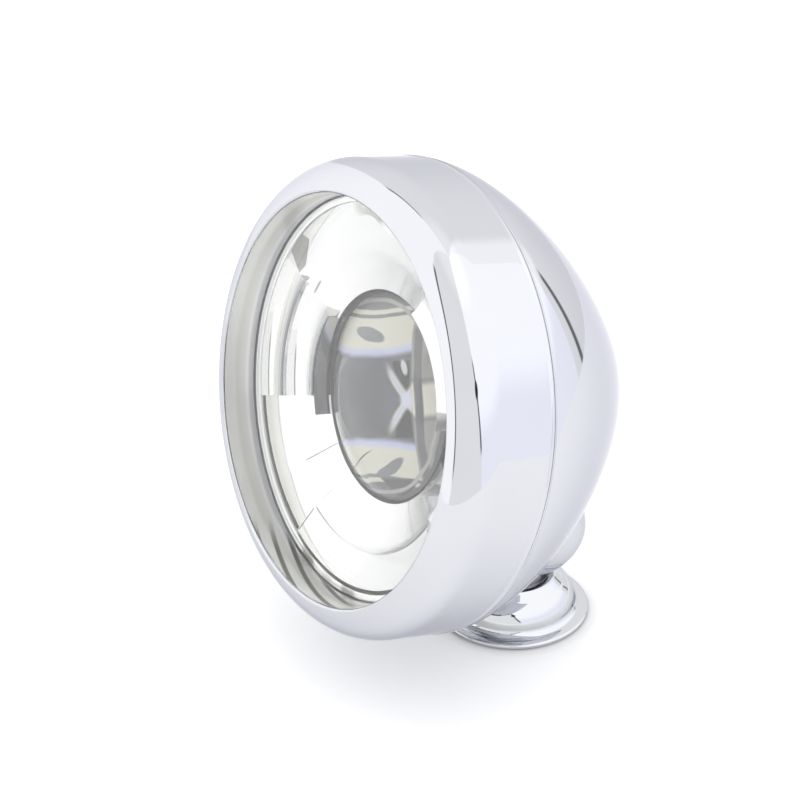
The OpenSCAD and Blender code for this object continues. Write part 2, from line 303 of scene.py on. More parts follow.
CHROME = chrome("chrome_shell", (0.60, 0.61, 0.64))
CHROME_FOOT = chrome("chrome_foot", (0.60, 0.61, 0.63))
MIRROR = chrome("mirror_unit", (0.735, 0.735, 0.73), 0.05)
TRIM = chrome("lens_trim", (0.30, 0.30, 0.28), 0.12)
STEEL = metal("steel", (0.52, 0.53, 0.55), 0.28)
ALU = metal("aluminium", (0.45, 0.46, 0.48), 0.35)
RUBBER = dull("rubber", (0.02, 0.02, 0.022), 0.7)
PLASTIC = dull("dark_plastic", (0.03, 0.03, 0.034), 0.45)
SEAT, _, satin = nodes_of("seat_satin")
satin.inputs["Base Color"].default_value = (0.80, 0.80, 0.82, 1)
satin.inputs["Metallic"].default_value = 0.4
satin.inputs["Roughness"].default_value = 0.35
GLASS = glass("front_glass", (0.985, 0.99, 0.985))
BULB = glass("bulb_glass", (0.97, 0.98, 0.99))

for node, ob in frame["nodes"].items():
    ob.data.materials.clear()
    pick = STEEL
    if node in ("glass_gasket", "rim_gasket", "foot_gasket", "wire_grommet", "bulb_lead"):
        pick = RUBBER
    elif node in ("lens_ring", "lead_connector"):
        pick = PLASTIC
    elif node in ("lens_tube", "unit_frame"):
        pick = ALU
    elif node == "swivel_ball":
        pick = SEAT
    elif node in ("seat_ring", "bezel_ring", "rear_housing", "foot"):
        pick = CHROME
    elif node in ("projector_bowl", "reflector"):
        pick = MIRROR
    elif node == "bulb_glass":
        pick = BULB
    ob.data.materials.append(pick)

# ---------------------------------------------------------------- bezel
BEZEL_R, OPEN_R, LIP_R, SEAM = 57.0, 48.8, 9.6, 24.4
RETURN_Z = 8.0
EDGE_R, EDGE_Z = 49.3, 0.75  # centre of the rounding at the edge of the opening
LIP_C = BEZEL_R - LIP_R
a_open = math.degrees(math.asin((OPEN_R - LIP_C) / LIP_R))
bezel = join(
    [(50.0, RETURN_Z), (49.6, RETURN_Z), (48.95, RETURN_Z - 0.05), (48.82, RETURN_Z - 0.2)],
    line((OPEN_R, RETURN_Z - 0.3), (OPEN_R, EDGE_Z), 12),
    arc(EDGE_R, EDGE_Z, 0.5, 180, 262, 6),
    arc(LIP_C, LIP_R, LIP_R, -90 + a_open + 2.4, 0, 60),
    line((BEZEL_R, LIP_R), (BEZEL_R, 22.9), 12),
    arc(56.6, 23.7, 0.58, -50, 175, 14),
    line((55.9, 23.6), (55.8, 9.8), 8),
    arc(LIP_C, LIP_R, LIP_R - 1.2, 0, -70, 24),
)
v, f = revolve(bezel, 384)
ob = make("bezel", v, f, CHROME, LAMP, "lamp", replaces=("bezel_ring",))
out_normals(ob)

# a darker line on the upper right of that edge: painted shade, in darker chrome
v, f = revolve(arc(EDGE_R, EDGE_Z, 0.52, 190, 238, 6), 192, -115, 45)
PAINTED_EDGE_SHADE = chrome("painted_edge_shade", (0.34, 0.34, 0.33), 0.1)
make("opening_painted_shade", v, f, PAINTED_EDGE_SHADE, LAMP, "lamp")

# ---------------------------------------------------------------- front glass
GLASS_R, GLASS_Z, GLASS_T, CROWN = 49.4, 7.3, 2.6, 1.3


def pane_z(r):
    return GLASS_Z + CROWN * (r / GLASS_R) ** 2


pane = join(
    [(0, GLASS_Z)], [(r, pane_z(r)) for r in range(4, 49, 2)],
    arc(GLASS_R - 0.3, pane_z(GLASS_R) + 0.3, 0.3, -90, 0, 4),
    arc(GLASS_R - 0.3, pane_z(GLASS_R) + GLASS_T - 0.3, 0.3, 0, 90, 4),
    [(r, pane_z(r) + GLASS_T) for r in range(48, 3, -2)], [(0, GLASS_Z + GLASS_T)])
v, f = revolve(pane, 192)
ob = make("glass", v, f, GLASS, LAMP, "lamp", replaces=("front_glass",))
out_normals(ob)


# ---------------------------------------------------------------- rear housing
# an egg-shaped curve of CAP steps, then a round cap over the tip from CAP_DEG to 90 degrees
CAP, CAP_DEG, TIP_STEPS = 120, 57.0, 30
VOXEL = 0.62


def dome_profile():
    h, n, m, cap = 58.4, 1.216, 1.457, 0.885
    pts = []
    for i in range(CAP + 1):
        s = h * cap * (1 - (1 - i / CAP) ** 1.2)
        pts.append((BEZEL_R * (1 - (s / h) ** m) ** (1 / n), SEAM + 0.2 + s))
    r1, z1 = pts[-1]
    cr = r1 / math.cos(math.radians(CAP_DEG))
    for i in range(1, TIP_STEPS + 1):
        a = math.radians(CAP_DEG + (90 - CAP_DEG) * i / TIP_STEPS)
        pts.append((cr * math.cos(a), z1 + cr * (math.sin(a) - math.sin(math.radians(CAP_DEG)))))
    return pts


PROFILE = dome_profile()
LIP_L, BOSS_R, BOSS_WIDE = 4.35, 14.7, 0.10
BOSS = np.array([0.0, DROP - BOSS_R, BACK])
NECK_LEAN = math.radians(25)
NECK_DIR = np.array([0.0, -math.cos(NECK_LEAN), -math.sin(NECK_LEAN)])


def dome_normals():
    pr = np.array(PROFILE)
    d = np.gradient(pr, axis=0)
    n = np.stack([d[:, 1], -d[:, 0]], 1)
    n[0], n[-1] = (1, 0), (0, 1)
    return pr, n / np.linalg.norm(n, axis=1)[:, None]


P_RZ, P_N = dome_normals()
CAP_COS, CAP_SIN = math.cos(math.radians(CAP_DEG)), math.sin(math.radians(CAP_DEG))
CAP_R = P_RZ[CAP, 0] / CAP_COS
CAP_Z = P_RZ[CAP, 1] - CAP_R * CAP_SIN


def dome_field(p):
    """Roughly the distance outside the dome, and its outward normal, in the lamp frame."""
    rad = np.maximum(np.hypot(p[:, 0], p[:, 1]), 1e-9)
    z = p[:, 2]
    nr = np.interp(z, P_RZ[:CAP + 1, 1], P_N[:CAP + 1, 0])
    nz = np.interp(z, P_RZ[:CAP + 1, 1], P_N[:CAP + 1, 1])
    f = (rad - np.interp(z, P_RZ[:CAP + 1, 1], P_RZ[:CAP + 1, 0])) * nr
    cz = z - CAP_Z
    cl = np.hypot(rad, cz)
    tip = cz * CAP_COS > rad * CAP_SIN
    f = np.where(tip, cl - CAP_R, f)
    nr = np.where(tip, rad / cl, nr)
    nz = np.where(tip, cz / cl, nz)
    ln = np.hypot(nr, nz)
    return f, np.stack([nr / ln * p[:, 0] / rad, nr / ln * p[:, 1] / rad, nz / ln], 1)


def neck_field(p):
    """The same for the boss, a slightly tapered rod with a round end."""
    rel = p - BOSS
    wide = 1 + BOSS_WIDE * np.clip((DROP - LIP_L - p[:, 1]) / 12, 0, 1)
    rel[:, 0] /= wide
    t = np.clip(rel @ NECK_DIR, 0, 26)
    off = rel - t[:, None] * NECK_DIR
    ln = np.linalg.norm(off, axis=1)
    n = off / np.maximum(ln, 1e-9)[:, None]
    n[:, 0] /= wide
    slope = np.linalg.norm(n, axis=1)
    return (ln - (BOSS_R - 0.012 * t)) / slope, n / slope[:, None]


def shell_field(p):
    """Dome and boss blended over k mm."""
    k = 6.0
    f1, n1 = dome_field(p)
    f2, n2 = neck_field(p)
    h = np.clip(0.5 + 0.5 * (f2 - f1) / k, 0, 1)
    f = f2 * (1 - h) + f1 * h - k * h * (1 - h)
    n = n2 * (1 - h)[:, None] + n1 * h[:, None]
    return f, n / np.linalg.norm(n, axis=1)[:, None]


def shell_mesh():
    """The dome and its boss as one skin: remeshed, then laid on the exact blended surface."""
    bm = bmesh.new()
    low = [(0, SEAM - 6), (PROFILE[0][0], SEAM - 6)] + PROFILE[::4] + [(0, PROFILE[-1][1])]
    add_faces(bm, *revolve(low, 160))
    prof = [(0, -BOSS_R)] + [(BOSS_R * math.cos(a), BOSS_R * math.sin(a))
                             for a in np.radians(np.linspace(-84, 0, 16))]
    prof += [(BOSS_R - 0.3, 24), (0, 24)]
    turn = Vector((0, 0, 1)).rotation_difference(Vector(NECK_DIR)).to_matrix().to_4x4()
    place = Matrix.Translation(Vector(BOSS)) @ turn
    verts, faces = revolve(prof, 96)
    add_faces(bm, [place @ Vector(p) for p in verts], faces)
    bmesh.ops.recalc_face_normals(bm, faces=bm.faces)
    mesh = bpy.data.meshes.new("shell_tmp")
    bm.to_mesh(mesh)
    bm.free()
    ob = bpy.data.objects.new("shell_tmp", mesh)
    bpy.context.scene.collection.objects.link(ob)
    mod = ob.modifiers.new("remesh", "REMESH")
    mod.mode, mod.voxel_size = "VOXEL", VOXEL
    dg = bpy.context.evaluated_depsgraph_get()
    got = bpy.data.meshes.new_from_object(ob.evaluated_get(dg))
    co = np.empty(len(got.vertices) * 3)
    got.vertices.foreach_get("co", co)
    co = co.reshape(-1, 3)
    polys = [tuple(p.vertices) for p in got.polygons]
    bpy.data.objects.remove(ob)
    bpy.data.meshes.remove(mesh)
    bpy.data.meshes.remove(got)
    ed = np.array([(a, b) for p in polys for a, b in zip(p, p[1:] + p[:1])])
    deg = np.maximum(np.bincount(ed[:, 0], minlength=len(co)), 1)
    side = co[:, 2] > SEAM - 4.5
    for relax in range(7):
        if relax:
            mean = np.zeros_like(co)
            np.add.at(mean, ed[:, 0], co[ed[:, 1]])
            mean /= deg[:, None]
            move = mean - co
            _, n = shell_field(co[side])
            mv = move[side]
            mv -= (mv * n).sum(1)[:, None] * n
            co[side] += 0.6 * mv
        for _ in range(3):
            f, n = shell_field(co[side])
            co[side] -= f[:, None] * n
    return co, polys


co, polys = shell_mesh()
bm = bmesh.new()
add_faces(bm, co, polys)
geom = bm.verts[:] + bm.edges[:] + bm.faces[:]
bmesh.ops.bisect_plane(bm, geom=geom, plane_co=(0, 0, SEAM + 0.3), plane_no=(0, 0, -1),
                       clear_outer=True)
geom = bm.verts[:] + bm.edges[:] + bm.faces[:]
bmesh.ops.bisect_plane(bm, geom=geom, plane_co=(0, DROP - LIP_L - 0.35, BACK), plane_no=(0, 1, 0),
                       clear_outer=True)
mesh = bpy.data.meshes.new("housing")
bm.to_mesh(mesh)
bm.free()
co = np.empty(len(mesh.vertices) * 3)
mesh.vertices.foreach_get("co", co)
_, nn = shell_field(co.reshape(-1, 3))
mesh.transform(LAMP)
mesh.shade_smooth()
m3 = np.array(LAMP.to_3x3().normalized())
nn = nn @ m3.T
mesh.normals_split_custom_set_from_vertices([tuple(n / np.linalg.norm(n)) for n in nn])
mesh.materials.append(CHROME)
ob = bpy.data.objects.new("housing", mesh)
bpy.context.scene.collection.objects.link(ob)
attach(ob, "lamp")
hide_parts("rear_housing")

# the housing's rim at the seam, with its spigot inside the bezel, and its inner skin as far as the boss
rim = join(arc(56.5, SEAM + 0.42, 0.46, 0, -90, 6), [(55.4, SEAM + 0.02), (55.4, 16.4), (55.2, 16.1),
           (53.8, 16.1), (53.8, SEAM + 0.2)],
           [(r - 1.9, z) for r, z in PROFILE[4:112:4] if z < 50])
v, f = revolve(rim, 256)
ob = make("housing_rim", v, f, CHROME, LAMP, "lamp")
out_normals(ob)

CUP_R, SEAT_IN, SEAT_OUT, SEAT_OPEN = 7.62, 7.68, 8.6, 7.2
# the boss's lower lip, rounded over into its socket
lip_r = math.sqrt(BOSS_R ** 2 - (BOSS_R - LIP_L - 0.35) ** 2)
lip = join([(lip_r + 0.02, LIP_L + 0.36)], arc(lip_r - 0.42, LIP_L + 0.35, 0.35, 0, -90, 6),
           line((lip_r - 0.5, LIP_L), (8.2, LIP_L), 4), [(8.0, LIP_L + 0.3), (8.0, LIP_L + 1.0)])
v, f = revolve(lip, 128)
ob = make("boss_lip", v, f, CHROME, TILTED, "lamp")
out_normals(ob)
# the seat ring runs on the ball. Its top is open wide enough to clear the stud at every tilt.
seat = join(arc(0, 0, SEAT_IN, 20.5, 29, 4), [(SEAT_OPEN, LIP_L + 0.9), (8.1, LIP_L + 0.9),
            (8.1, LIP_L - 0.6)], arc(0, 0, SEAT_OUT, 24, 21, 2))
v, f = revolve(seat, 128)
ob = make("seat", v, f, SEAT, TILTED, "lamp", replaces=("seat_ring",))
out_normals(ob)

# ---------------------------------------------------------------- foot
foot = join(
    [(7.7, 0.02), (15.3, 0.02)], [(15.35, 1.0), (17.65, 1.0), (17.7, 0.02)],
    arc(18.85, 0.55, 0.53, -90, 0, 6), arc(18.7, 0.8, 0.68, 0, 72, 8), [(18.3, 1.62), (17.8, 1.75)],
    arc(17.75, 3.75, 2.0, 262, 188, 14),
    arc(8.2, 3.0, 7.6, 7, 56, 32),
    line((12.3, 9.5), (10.75, 11.1), 8),
    arc(10.4, 11.15, 0.3, 30, 75, 4), [(9.5, 11.8), (9.2, 11.85), (9.0, 11.6),
    (8.9, 10.8), (8.6, 10.6), (7.9, 10.1)],
)
v, f = revolve(foot, 256)
ob = make("foot_shell", v, f, CHROME_FOOT, WORLD, "foot", replaces=("foot",))
out_normals(ob)
cup = [(CUP_R * math.cos(math.radians(a)), BALL_Z + CUP_R * math.sin(math.radians(a)))
       for a in range(-6, -60, -4)]
v, f = revolve([(7.9, 10.1)] + cup, 96)
make("foot_cup", v, f, CHROME_FOOT, WORLD, "foot")


# ---------------------------------------------------------------- reflector
def scoop(r0, r1, z0, z1, deep):
    """A hollow flute from r0 in to r1."""
    n = 9
    return [(r0 + (r1 - r0) * i / n, z0 + (z1 - z0) * i / n + deep * 4 * (i / n) * (1 - i / n))
            for i in range(n + 1)]


# each sector's face as (r, z) from its rim inwards; angles count from the unit's top
FACE = {
    "top": line((46.6, 11.9), (36, 13.4), 8) + line((35, 13.6), (25.6, 16.9), 8),
    "a": scoop(46.4, 37.2, 11.6, 12.3, 1.7) + scoop(36.9, 26.5, 13.1, 14.3, 1.7),
    "b": line((45.2, 12.2), (36, 14.2), 8) + line((35, 14.5), (25.4, 18.9), 8),
    "c": line((45.2, 12.2), (36, 14.1), 8) + line((35, 14.2), (25.4, 18.5), 8),
    "d": line((45.3, 11.3), (37.0, 13.0), 8) + line((36.0, 13.9), (25.4, 18.5), 8),
}
SECTORS = [(-46, 39, "top"), (39, 93, "a"), (93, 120, "b"), (120, 139, "c"), (139, 221, "d"),
           (221, 240, "c"), (240, 267, "b"), (267, 314, "a")]
FLOOR_Z = 19.6
unit = LAMP @ rot("Z", -UNIT_TURN)
verts, faces = [], []


def dense(pts, gap=1.0):
    out = [pts[0]]
    for a, b in zip(pts, pts[1:]):
        n = max(1, int(math.hypot(b[0] - a[0], b[1] - a[1]) / gap))
        out += [(a[0] + (b[0] - a[0]) * i / n, a[1] + (b[1] - a[1]) * i / n) for i in range(1, n + 1)]
    return out


def add_sector(a0, a1, pts):
    n = max(6, int((a1 - a0) / 1.5))
    base = len(verts)
    for r, z in pts:
        for i in range(n + 1):
            t = math.radians(a0 + (a1 - a0) * i / n - 90)
            verts.append((r * math.cos(t), r * math.sin(t), z))
    for j in range(len(pts) - 1):
        for i in range(n):
            k = base + j * (n + 1) + i
            faces.append((k, k + 1, k + n + 2, k + n + 1))
    # walls down both sides to the reflector's floor
    for edge in (0, n):
        b2 = len(verts)
        for j, (r, z) in enumerate(pts):
            t = math.radians((a0 if edge == 0 else a1) - 90)
            verts.append((r * math.cos(t), r * math.sin(t), z))
            verts.append((r * math.cos(t), r * math.sin(t), FLOOR_Z))
        for j in range(len(pts) - 1):
            q = (b2 + 2 * j, b2 + 2 * j + 1, b2 + 2 * j + 3, b2 + 2 * j + 2)
            faces.append(q if edge == 0 else q[::-1])


for a0, a1, key in SECTORS:
    add_sector(a0, a1, dense(FACE[key]))
ob = make("reflector_face", verts, faces, MIRROR, unit, "lamp",
          replaces=("reflector",))
sharp(ob, 30)


def on_face(key, a, r, lift=0.05):
    """A point just in front of a sector's face, at angle a and radius r."""
    pts = FACE[key][::-1]
    t = math.radians(a - 90)
    z = float(np.interp(r, [p[0] for p in pts], [p[1] for p in pts]))
    return (r * math.cos(t), r * math.sin(t), z - lift)


def painted_reflection_metal():
    """Mirror metal with painted dark waves: a painted reflection of the wall."""
    mat, nt, bsdf = nodes_of("painted_reflection_metal")
    wavy = ramp(nt, noise(nt, 120.0, 0.0, 0.4).outputs["Fac"],
                [(0.34, (0.40, 0.41, 0.38)), (0.46, (0.74, 0.75, 0.73)), (0.54, (0.86, 0.86, 0.85)),
                 (0.64, (0.46, 0.47, 0.44))])
    link(nt, wavy.outputs["Color"], bsdf.inputs["Base Color"])
    bsdf.inputs["Metallic"].default_value = 1.0
    bsdf.inputs["Roughness"].default_value = 0.12
    return mat


def ribbon(sides):
    """Quads between two lines; sides lists the face and both lines' (angle, r) at each step."""
    n = len(verts)
    for key, one, other in sides:
        verts.extend((on_face(key, *one, 0.06), on_face(key, *other, 0.06)))
    for k in range(n, n + 2 * len(sides) - 2, 2):
        faces.append((k, k + 1, k + 3, k + 2))


# thin dark lines and facets laid on the mirror: painted shade where the wall looks dark
verts, faces = [], []
for key, a, r0, r1 in (("c", 120, 25.6, 34.6), ("c", 240, 25.6, 34.6), ("d", 139.4, 36.6, 45.0),
                       ("d", 220.6, 36.6, 45.0)):
    ribbon([(key, (a - 0.18, r), (a + 0.18, r)) for r in np.linspace(r0, r1, 9)])
for sign in (1, -1):
    turns = np.linspace(140, 162, 12)
    thin = [0.13 * (1 - k / len(turns)) for k in range(len(turns))]
    ribbon([("d", (sign * a, 36.8 - t), (sign * a, 36.8 + t)) for a, t in zip(turns, thin)])
for patch in (((-45.6, 41.0), (-43.0, 46.3), (-35.0, 46.3), (-33.0, 44.0), (-41.0, 40.4)),
              ((-45.8, 38.8), (-45.8, 40.2), (-43.5, 38.4), (-38.5, 34.2), (-45.8, 34.0))):
    faces.append(tuple(range(len(verts), len(verts) + len(patch))))
    verts += [on_face("top", *q) for q in patch]
# darker chrome for the painted shade lines and facets
PAINTED_SHADE_MIRROR = chrome("mirror_painted_shade", (0.30, 0.30, 0.29), 0.08)
make("reflector_painted_shade", verts, faces, PAINTED_SHADE_MIRROR, unit, "lamp", smooth=False)
# the strip of painted reflection on the top sector, with a wavy inner edge
verts, faces = [], []
arcs = [(a, 41.0 + 0.8 * math.sin(a * 0.35) + 2.6 * abs(a - 14) / 18) for a in np.linspace(-5, 32, 38)]
for a, r in arcs:
    verts += [on_face("top", a, r), on_face("top", a, 44.6), on_face("top", a, 46.5)]
for i in range(len(arcs) - 1):
    k = 3 * i
    faces += [(k, k + 1, k + 4, k + 3), (k + 1, k + 2, k + 5, k + 4)]
make("reflector_painted_reflection", verts, faces, painted_reflection_metal(), unit, "lamp")
# the liner of the opening's wall
wall = join(line((48.76, 1.0), (48.2, 9.9), 24), line((48.1, 10.1), (47.8, 11.0), 4),
            arc(47.6, 11.4, 0.25, 0, -90, 4), line((47.4, 11.15), (46.4, 11.2), 2),
            [(46.25, 11.35), (46.2, 12.4), (46.0, 16.4), (30, 19.6)])


def liner_painted_reflections():
    """Bright satin metal with painted reflections: soft bands by depth, and wavy dark streaks at top
    and bottom.
    """
    mat, nt, bsdf = nodes_of("liner_painted_reflections")
    m = lambda op, a, b=None: math_node(nt, op, a, b)
    sep = nt.nodes.new("ShaderNodeSeparateXYZ")
    co = nt.nodes.new("ShaderNodeTexCoord")
    link(nt, co.outputs["Object"], sep.inputs["Vector"])
    # the mesh is in world metres, so y and z are turned into the lamp frame, in mm
    x, wy, wz = (m("MULTIPLY", sep.outputs[k], PER_M) for k in range(3))
    c, d = math.cos(math.radians(TILT)), math.sin(math.radians(TILT))
    up = m("SUBTRACT", wz, BALL_Z)
    z = m("ADD", m("SUBTRACT", m("MULTIPLY", wy, c), m("MULTIPLY", up, d)), BACK)
    y = m("SUBTRACT", DROP, m("ADD", m("MULTIPLY", wy, d), m("MULTIPLY", up, c)))
    wave = m("SINE", m("ADD", m("MULTIPLY", x, 0.33), m("MULTIPLY", z, 1.5)))
    ends = step(nt, m("ABSOLUTE", y), 42.5, 47.0)
    depth = m("ADD", z, m("MULTIPLY", m("MULTIPLY", wave, ends), 0.9))
    depth = m("DIVIDE", depth, 14.0)
    # painted reflections: light and grey bands by depth
    painted_bands = ramp(nt, depth, [(0.06, (1.0, 1.0, 0.98)), (0.24, (0.97, 0.97, 0.93)),
                            (0.32, (0.82, 0.82, 0.78)), (0.46, (0.88, 0.88, 0.85)),
                            (0.52, (1.0, 1.0, 0.98)), (0.56, (0.74, 0.75, 0.76)),
                            (0.72, (0.70, 0.71, 0.73)), (0.76, (1.0, 1.0, 1.0)),
                            (0.90, (1.0, 1.0, 1.0))])
    # dark streaks near the top and bottom, also painted reflections
    dark = nt.nodes.new("ShaderNodeMix")
    dark.data_type = "RGBA"
    streak = m("MULTIPLY", step(nt, wave, 0.3, 0.9), m("MULTIPLY", ends, 0.8))
    link(nt, streak, dark.inputs[0])
    link(nt, painted_bands.outputs["Color"], dark.inputs[MIX_A])
    dark.inputs[MIX_B].default_value = (0.16, 0.16, 0.13, 1)
    link(nt, dark.outputs[MIX_OUT], bsdf.inputs["Base Color"])
    bsdf.inputs["Metallic"].default_value = 1.0
    bsdf.inputs["Roughness"].default_value = 0.36
    return mat


v, f = revolve(wall, 256)
make("reflector_rim", v, f, liner_painted_reflections(), LAMP, "lamp")
well = line((26.4, 14.5), (26.1, 19.4), 6)
verts, faces = [], []
for a0, a1 in ((39, 103), (257, 314)):
    v, f = revolve(well, 48, a0 - 90, a1 - 90)
    faces += [tuple(i + len(verts) for i in face) for face in f]
    verts += v
make("reflector_well", verts, faces, MIRROR, unit, "lamp")

# ---------------------------------------------------------------- projector lens
LENS_R, LENS_H, LENS_Z = 24.6, 8.0, 19.0
LENS_MAP = 60.0  # mm across the lens's UV map
cr = (LENS_R ** 2 + LENS_H ** 2) / (2 * LENS_H)
amax = math.degrees(math.asin(LENS_R / cr))
front = [(cr * math.sin(math.radians(a)), LENS_Z - LENS_H + cr * (1 - math.cos(math.radians(a))))
         for a in np.linspace(0, amax, 40)]


def lens_glass():
    """An opaque stand-in for thick glass, painted with what the photo's lens shows behind it.

    u runs right and v up in the turned unit's axes, in mm; later layers lie over earlier ones.
    """
    # the layers below are painted reflections, shade and highlights, as seen through thick glass
    mat, nt, bsdf = nodes_of("lens_glass")
    co = nt.nodes.new("ShaderNodeTexCoord")
    sep = nt.nodes.new("ShaderNodeSeparateXYZ")
    warp = noise(nt, 90, 2.0)
    link(nt, co.outputs["UV"], sep.inputs["Vector"])
    m = lambda op, a, b=None: math_node(nt, op, a, b)
    wob = m("MULTIPLY", m("SUBTRACT", warp.outputs["Fac"], 0.5), 1.6)
    u = m("ADD", m("MULTIPLY", m("SUBTRACT", sep.outputs["X"], 0.5), LENS_MAP), wob)
    v = m("ADD", m("MULTIPLY", m("SUBTRACT", sep.outputs["Y"], 0.5), LENS_MAP), wob)
    rad = m("SQRT", m("ADD", m("MULTIPLY", u, u), m("MULTIPLY", v, v)))
    layers = []

    def layer(mask, rgb):
        layers.append((mask, rgb))

    up = lambda x, lo, hi: step(nt, x, lo, hi)
    inv = lambda x: m("SUBTRACT", 1.0, x)
    both = lambda a, b: m("MULTIPLY", a, b)

    def spot(cu, cv, ru, rv, turn, soft=0.12):
        c, s = math.cos(math.radians(turn)), math.sin(math.radians(turn))
        du, dv = m("SUBTRACT", u, cu), m("SUBTRACT", v, cv)
        a = m("DIVIDE", m("ADD", m("MULTIPLY", du, c), m("MULTIPLY", dv, s)), ru)
        b = m("DIVIDE", m("SUBTRACT", m("MULTIPLY", dv, c), m("MULTIPLY", du, s)), rv)
        far = m("SQRT", m("ADD", m("MULTIPLY", a, a), m("MULTIPLY", b, b)))
        return inv(up(far, 1 - soft, 1 + soft))

    # the bands bow a little, and mirror about the axis
    bow = m("ADD", m("ABSOLUTE", v), m("MULTIPLY", m("MULTIPLY", u, u), -0.006))
    cream, pale_blue = (0.88, 0.86, 0.74), (0.70, 0.74, 1.0)
    mid, dark, black = (0.22, 0.225, 0.24), (0.08, 0.08, 0.085), (0.01, 0.01, 0.01)
    layer(both(up(u, 1.0, 7.0), inv(up(bow, 7.0, 9.0))), (0.14, 0.15, 0.175))
    layer(up(bow, 8.2, 9.8), pale_blue)
    layer(up(bow, 9.8, 11.2), cream)
    layer(spot(-1.0, -13.6, 5.0, 1.5, 12), mid)
    layer(spot(3.5, 15.4, 5.4, 1.3, -24), mid)
    layer(spot(-6.0, 13.8, 4.5, 0.22, -30, 0.4), dark)
    layer(up(bow, 16.9, 17.2), mid)
    layer(up(bow, 17.7, 18.0), cream)
    layer(up(bow, 18.7, 19.1), (0.20, 0.20, 0.215))
    tent = m("ADD", v, m("MULTIPLY", m("ABSOLUTE", m("SUBTRACT", u, 6.0)), 0.9))
    layer(both(up(v, 17.5, 18.0), inv(up(tent, 23.0, 24.0))), dark)
    # the crossing at the side: painted highlight and painted shade
    du = m("SUBTRACT", u, 11.4)
    dv = m("SUBTRACT", v, 0.3)
    past = m("SUBTRACT", m("ABSOLUTE", dv), m("MULTIPLY", m("ABSOLUTE", du), 1.05))
    cross = m("ABSOLUTE", past)
    side = both(up(u, 4.2, 7.5), inv(up(u, 12.6, 13.2)))
    near = both(side, inv(up(m("ABSOLUTE", dv), 7.5, 9.0)))
    layer(both(near, inv(up(cross, 0.7, 2.0))), cream)
    layer(both(near, inv(up(cross, 0.1, 1.0))), pale_blue)
    layer(spot(11.4, 0.3, 2.0, 1.7, 0, 0.5), (0.85, 0.88, 1.0))
    layer(both(both(up(u, 6.6, 7.4), inv(up(u, 12.2, 12.6))),
               both(up(past, 1.9, 2.4), inv(up(m("ABSOLUTE", dv), 8.0, 8.5)))), black)
    layer(spot(10.6, -6.6, 0.9, 1.7, -25, 0.3), (0.8, 0.8, 0.84))
    layer(both(up(u, 12.8, 13.2), inv(up(m("ABSOLUTE", dv), 2.5, 4.5))), cream)
    layer(both(up(u, 12.8, 13.2), up(m("ABSOLUTE", dv), 3.5, 5.0)), (0.40, 0.40, 0.38))
    layer(both(up(u, 13.5, 14.0), inv(up(u, 16.0, 16.6))), (0.17, 0.17, 0.18))
    # rounds beside the rim
    left = inv(up(u, -9.0, -7.0))
    arcs = m("ADD", m("MULTIPLY", m("SINE", m("MULTIPLY", rad, 2.1)), 0.5), 0.5)
    layer(both(both(left, inv(up(bow, 8.0, 10.0))), both(up(rad, 11.5, 12.5), up(arcs, 0.45, 0.8))),
          (0.22, 0.225, 0.245))
    layer(both(up(rad, 20.6, 21.0), inv(up(rad, 21.5, 21.9))), (0.55, 0.55, 0.52))
    layer(up(rad, 22.2, 22.8), (0.15, 0.15, 0.15))
    rings = m("MULTIPLY", m("SINE", m("MULTIPLY", rad, 5.2)), inv(up(rad, 6.0, 9.0)))
    base = m("ADD", 0.10, m("MULTIPLY", rings, 0.007))
    col = nt.nodes.new("ShaderNodeCombineXYZ")
    link(nt, base, col.inputs[0])
    link(nt, m("MULTIPLY", base, 1.01), col.inputs[1])
    link(nt, m("MULTIPLY", base, 1.10), col.inputs[2])
    out = col.outputs["Vector"]
    for mask, rgb in layers:
        mix = nt.nodes.new("ShaderNodeMix")
        mix.data_type = "RGBA"
        link(nt, mask, mix.inputs["Factor"])
        link(nt, out, mix.inputs[MIX_A])
        mix.inputs[MIX_B].default_value = (*rgb, 1)
        out = mix.outputs[MIX_OUT]
    link(nt, out, bsdf.inputs["Base Color"])
    bsdf.inputs["Roughness"].default_value = 0.02
    bsdf.inputs["IOR"].default_value = 1.5
    return mat


def lens():
    """Its UV map runs in the turned unit's own axes, as the curve bends what lies behind."""
    curve = front + [(24.9, LENS_Z + 0.05), (25.1, LENS_Z + 0.2), (25.1, 20.9), (24, 21.15),
                     (0, 21.15)]
    verts, faces = revolve(curve, 192)
    ob = make("lens", verts, faces, lens_glass(), LAMP, "lamp",
              replaces=("projector_lens",))
    uv = ob.data.uv_layers.new(name="unit")
    c, s = math.cos(math.radians(UNIT_TURN + 3)), math.sin(math.radians(UNIT_TURN + 3))
    for loop in ob.data.loops:
        x, y = verts[loop.vertex_index][:2]
        a, b = x * c - y * s, x * s + y * c
        u = 0.806 * a - 4.0 + 0.014 * a * a + 0.010 * b * b
        v = 0.925 * b + 0.25
        uv.data[loop.index].uv = (0.5 + u / LENS_MAP, 0.5 + v / LENS_MAP)
    sharp(ob, 40)


lens()
trim = join([(27.2, 21.2), (27.2, 19.5), (27.0, 19.15), (26.6, 19.05)],
            line((26.2, 19.3), (25.6, 19.3), 2),
            [(25.3, 19.05), (24.9, 19.1), (24.8, 19.4), (24.8, 21.2)])
v, f = revolve(trim, 160)
ob = make("lens_trim", v, f, TRIM, LAMP, "lamp", replaces=("lens_ring",))
out_normals(ob)
bead = [(25.05 + 0.3 * math.cos(math.radians(a)), 18.75 + 0.3 * math.sin(math.radians(a)))
        for a in range(0, 361, 30)]
v, f = revolve(bead, 160)
ob = make("lens_seal", v, f, RUBBER, LAMP, "lamp")
out_normals(ob)

# ---------------------------------------------------------------- light and floor
scene = bpy.context.scene
scene.view_settings.view_transform = "Standard"
scene.view_settings.look = "None"


